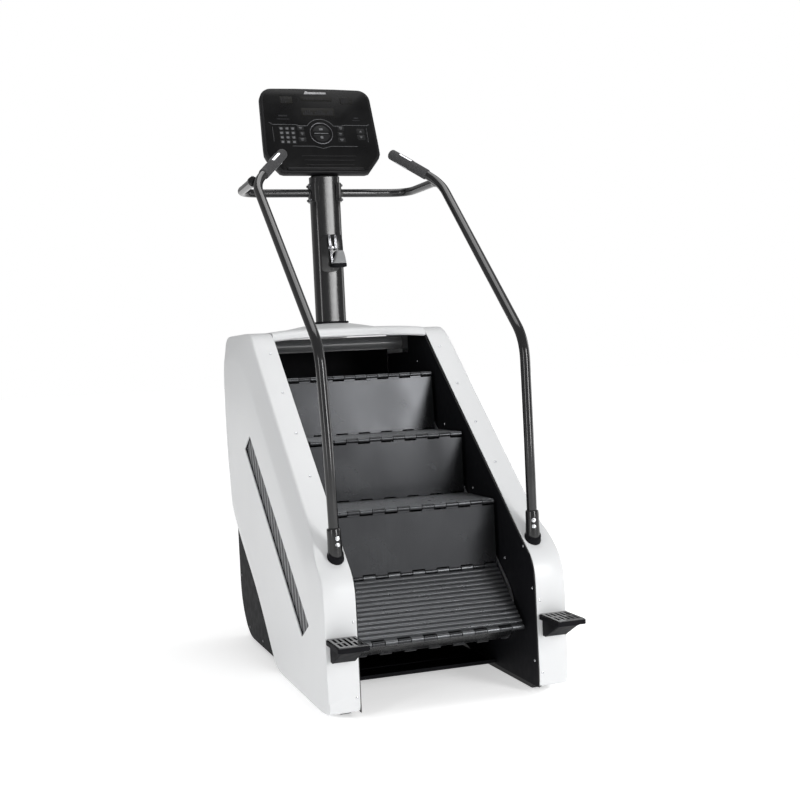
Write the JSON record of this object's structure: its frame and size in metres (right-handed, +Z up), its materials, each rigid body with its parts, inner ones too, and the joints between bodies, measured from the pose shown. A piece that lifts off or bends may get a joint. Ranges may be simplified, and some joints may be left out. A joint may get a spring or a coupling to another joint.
{
  "type": "stair climber",
  "caption": "Stair climber with a revolving belt of hinged steps between moulded side shells, tall bent handrails, and a tilted console on a column.",
  "frame": {"origin": "on the floor, under the middle of the machine's footprint", "axes": "+Y the way the user faces and climbs, +X the user's right, +Z up"},
  "size_m": [0.804, 1.512, 2.1142],
  "materials": {
    "gloss_white": "glossy moulded white shell",
    "satin_black_metal": "satin black powder coat",
    "panel_black": "fine textured black panel",
    "frame_grey": "dark grey powder coat",
    "tread_grey": "dark anodised ribbed extrusion",
    "riser_grey": "dark anodised satin sheet",
    "machined_steel": "turned and ground",
    "cast_aluminium": "as cast",
    "rubber": "matt",
    "grip_foam": "closed-cell foam",
    "chrome": "polished",
    "console_plastic": "fine textured",
    "console_overlay": "glossy printed overlay"
  },
  "bodies": {
    "frame": {"accessory_holder": "satin_black_metal", "base_frame": "frame_grey", "brake_alternator": "cast_aluminium", "console_bracket": "satin_black_metal", "console_housing": "console_plastic", "console_overlay": "console_overlay", "drive_belt": "rubber", "foot_platform_left": "satin_black_metal", "foot_platform_right": "satin_black_metal", "grip_left": "grip_foam", "grip_right": "grip_foam", "handrail_left": "satin_black_metal", "handrail_right": "satin_black_metal", "handrail_socket_left": "satin_black_metal", "handrail_socket_right": "satin_black_metal", "holder_clip": "chrome", "inner_wall_left": "panel_black", "inner_wall_right": "panel_black", "lower_side_panel_left": "panel_black", "lower_side_panel_right": "panel_black", "mast": "satin_black_metal", "mast_beam": "frame_grey", "platform_bracket_left": "satin_black_metal", "platform_bracket_right": "satin_black_metal", "pulse_band_left": "chrome", "pulse_band_right": "chrome", "rear_cover": "panel_black", "rubber_skid_left": "rubber", "rubber_skid_right": "rubber", "side_frame_left": "frame_grey", "side_frame_right": "frame_grey", "side_shell_left": "gloss_white", "side_shell_right": "gloss_white", "side_vent_left": "panel_black", "side_vent_right": "panel_black", "step_chain_left": "machined_steel", "step_chain_right": "machined_steel", "support_arm_left": "satin_black_metal", "support_arm_right": "satin_black_metal", "top_cover": "gloss_white"},
    "stair_run": {"tread_2": "tread_grey", "riser_2": "riser_grey", "tread_3": "tread_grey", "riser_3": "riser_grey"},
    "riser_1": {"riser_1": "riser_grey"},
    "tread_1": {"tread_1": "tread_grey"},
    "riser_8": {"riser_8": "riser_grey"},
    "tread_8": {"tread_8": "tread_grey"},
    "tread_4": {"tread_4": "tread_grey"},
    "riser_4": {"riser_4": "riser_grey"},
    "return_run": {"riser_6": "riser_grey", "tread_6": "tread_grey", "riser_7": "riser_grey", "tread_7": "tread_grey"},
    "riser_5": {"riser_5": "riser_grey"},
    "tread_5": {"tread_5": "tread_grey"},
    "upper_shaft": {"upper_shaft": "machined_steel", "drive_pulley": "machined_steel"},
    "lower_shaft": {"lower_shaft": "machined_steel"},
    "brake_rotor": {"brake_pulley": "machined_steel"}
  },
  "joints": [
    {"name": "stair_travel", "type": "slide", "parent": "frame", "child": "stair_run", "axis": [0, -0.7779, -0.6283], "range_m": [-0.04, 0.06]},
    {"name": "return_travel", "type": "slide", "parent": "frame", "child": "return_run", "axis": [0, 0.7779, 0.6283], "range_m": [-0.041, 0.061]},
    {"name": "riser_1_hinge", "type": "hinge", "parent": "stair_run", "child": "riser_1", "pos_m": [0, 0.16699, 0.78703], "axis": [1, 0, 0], "range_deg": [-3.3, 4.7]},
    {"name": "tread_1_hinge", "type": "hinge", "parent": "riser_1", "child": "tread_1", "pos_m": [0, 0.18067, 0.99658], "axis": [1, 0, 0], "range_deg": [-2.9, 4.2]},
    {"name": "riser_8_hinge", "type": "hinge", "parent": "tread_1", "child": "riser_8", "pos_m": [0, 0.43931, 0.9701], "axis": [1, 0, 0], "range_deg": [-17, 25.2]},
    {"name": "tread_8_hinge", "type": "hinge", "parent": "riser_8", "child": "tread_8", "pos_m": [0, 0.63622, 0.8971], "axis": [1, 0, 0], "range_deg": [-9.1, 6.3]},
    {"name": "tread_4_hinge", "type": "hinge", "parent": "stair_run", "child": "tread_4", "pos_m": [0, -0.35301, 0.36703], "axis": [1, 0, 0], "range_deg": [-16.5, 24.5]},
    {"name": "riser_4_hinge", "type": "hinge", "parent": "tread_4", "child": "riser_4", "pos_m": [0, -0.55302, 0.2009], "axis": [1, 0, 0], "range_deg": [-6.3, 9.1]},
    {"name": "riser_5_hinge", "type": "hinge", "parent": "return_run", "child": "riser_5", "pos_m": [0, -0.08379, 0.31097], "axis": [1, 0, 0], "range_deg": [-3.3, 4.7]},
    {"name": "tread_5_hinge", "type": "hinge", "parent": "riser_5", "child": "tread_5", "pos_m": [0, -0.09747, 0.10142], "axis": [1, 0, 0], "range_deg": [-2.9, 4.2]},
    {"name": "upper_shaft_turn", "type": "hinge", "parent": "frame", "child": "upper_shaft", "pos_m": [0, 0.4316, 0.864], "axis": [1, 0, 0], "range_deg": [-22, 32.8]},
    {"name": "lower_shaft_turn", "type": "hinge", "parent": "frame", "child": "lower_shaft", "pos_m": [0, -0.3484, 0.234], "axis": [1, 0, 0], "range_deg": [-22, 32.8]},
    {"name": "brake_rotor_turn", "type": "hinge", "parent": "frame", "child": "brake_rotor", "pos_m": [0, 0.495, 0.235], "axis": [1, 0, 0], "range_deg": [-86.7, 129.8]}
  ],
  "couplings": [
    {"joint": "return_travel", "follows": "stair_travel", "ratio": 1},
    {"joint": "riser_1_hinge", "follows": "stair_travel", "rad_per_m": 1.227},
    {"joint": "tread_1_hinge", "follows": "stair_travel", "rad_per_m": 1.066},
    {"joint": "riser_8_hinge", "follows": "stair_travel", "rad_per_m": 7.191},
    {"joint": "tread_8_hinge", "follows": "stair_travel", "rad_per_m": -2.51},
    {"joint": "tread_4_hinge", "follows": "stair_travel", "rad_per_m": 6.974},
    {"joint": "riser_4_hinge", "follows": "stair_travel", "rad_per_m": 2.51},
    {"joint": "riser_5_hinge", "follows": "stair_travel", "rad_per_m": 1.227},
    {"joint": "tread_5_hinge", "follows": "stair_travel", "rad_per_m": 1.066},
    {"joint": "upper_shaft_turn", "follows": "stair_travel", "rad_per_m": 9.3999},
    {"joint": "lower_shaft_turn", "follows": "stair_travel", "rad_per_m": 9.3999},
    {"joint": "brake_rotor_turn", "follows": "stair_travel", "rad_per_m": 37.6}
  ]
}
